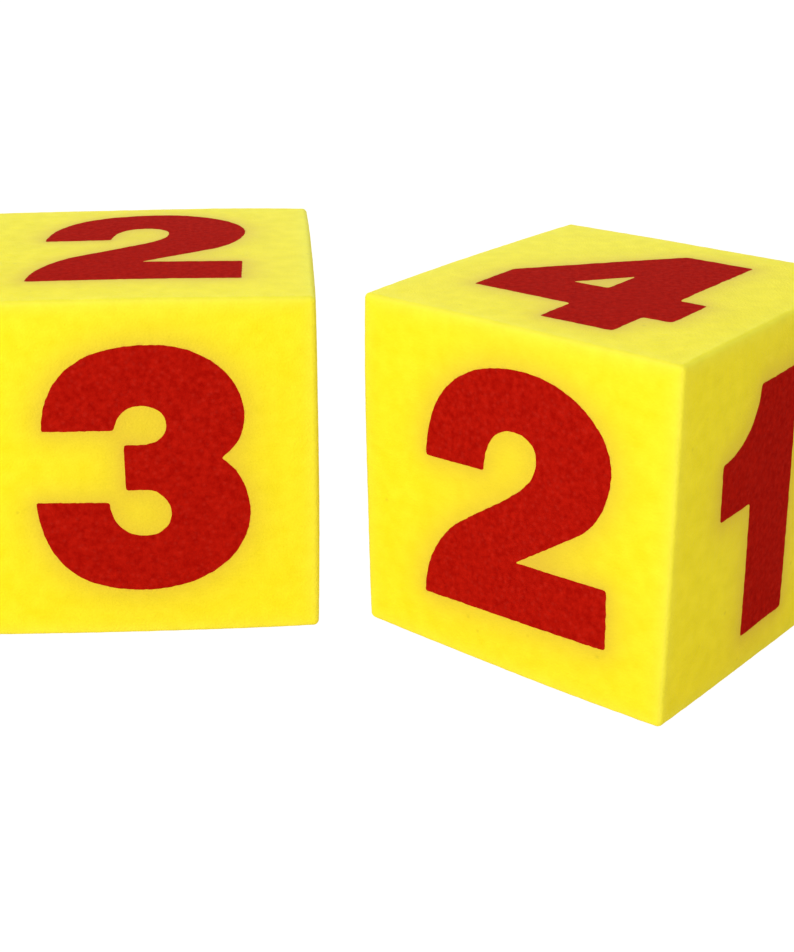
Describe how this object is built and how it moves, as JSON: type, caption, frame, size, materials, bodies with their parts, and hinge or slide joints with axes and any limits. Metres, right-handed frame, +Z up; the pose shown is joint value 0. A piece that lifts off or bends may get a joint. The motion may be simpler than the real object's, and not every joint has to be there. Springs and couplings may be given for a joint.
{
  "type": "foam number dice",
  "caption": "Pair of large soft foam cube dice with a bold numeral set flush in every face, for lawn and floor games.",
  "frame": {"origin": "on the ground under the middle of the pair's box", "axes": "+Z up, +X across the pair from the left die to the right one, +Y away from a player who sees the 3 on the front of the left die, whose edges are square to the axes"},
  "size_m": [0.323, 0.2084, 0.127],
  "materials": {
    "yellow_foam": "open-cell polyurethane foam, matte, slightly translucent",
    "red_foam": "open-cell polyurethane foam, matte"
  },
  "bodies": {
    "left_die": {"left_die_block": "yellow_foam", "left_die_numeral_1": "red_foam", "left_die_numeral_2": "red_foam", "left_die_numeral_3": "red_foam", "left_die_numeral_4": "red_foam", "left_die_numeral_5": "red_foam", "left_die_numeral_6": "red_foam"},
    "right_die": {"right_die_block": "yellow_foam", "right_die_numeral_1": "red_foam", "right_die_numeral_2": "red_foam", "right_die_numeral_3": "red_foam", "right_die_numeral_4": "red_foam", "right_die_numeral_5": "red_foam", "right_die_numeral_6": "red_foam"}
  },
  "joints": [
    {"name": "right_die_lift", "type": "slide", "parent": "left_die", "child": "right_die", "axis": [0, 0, 1], "range_m": [0, 0.2]}
  ]
}
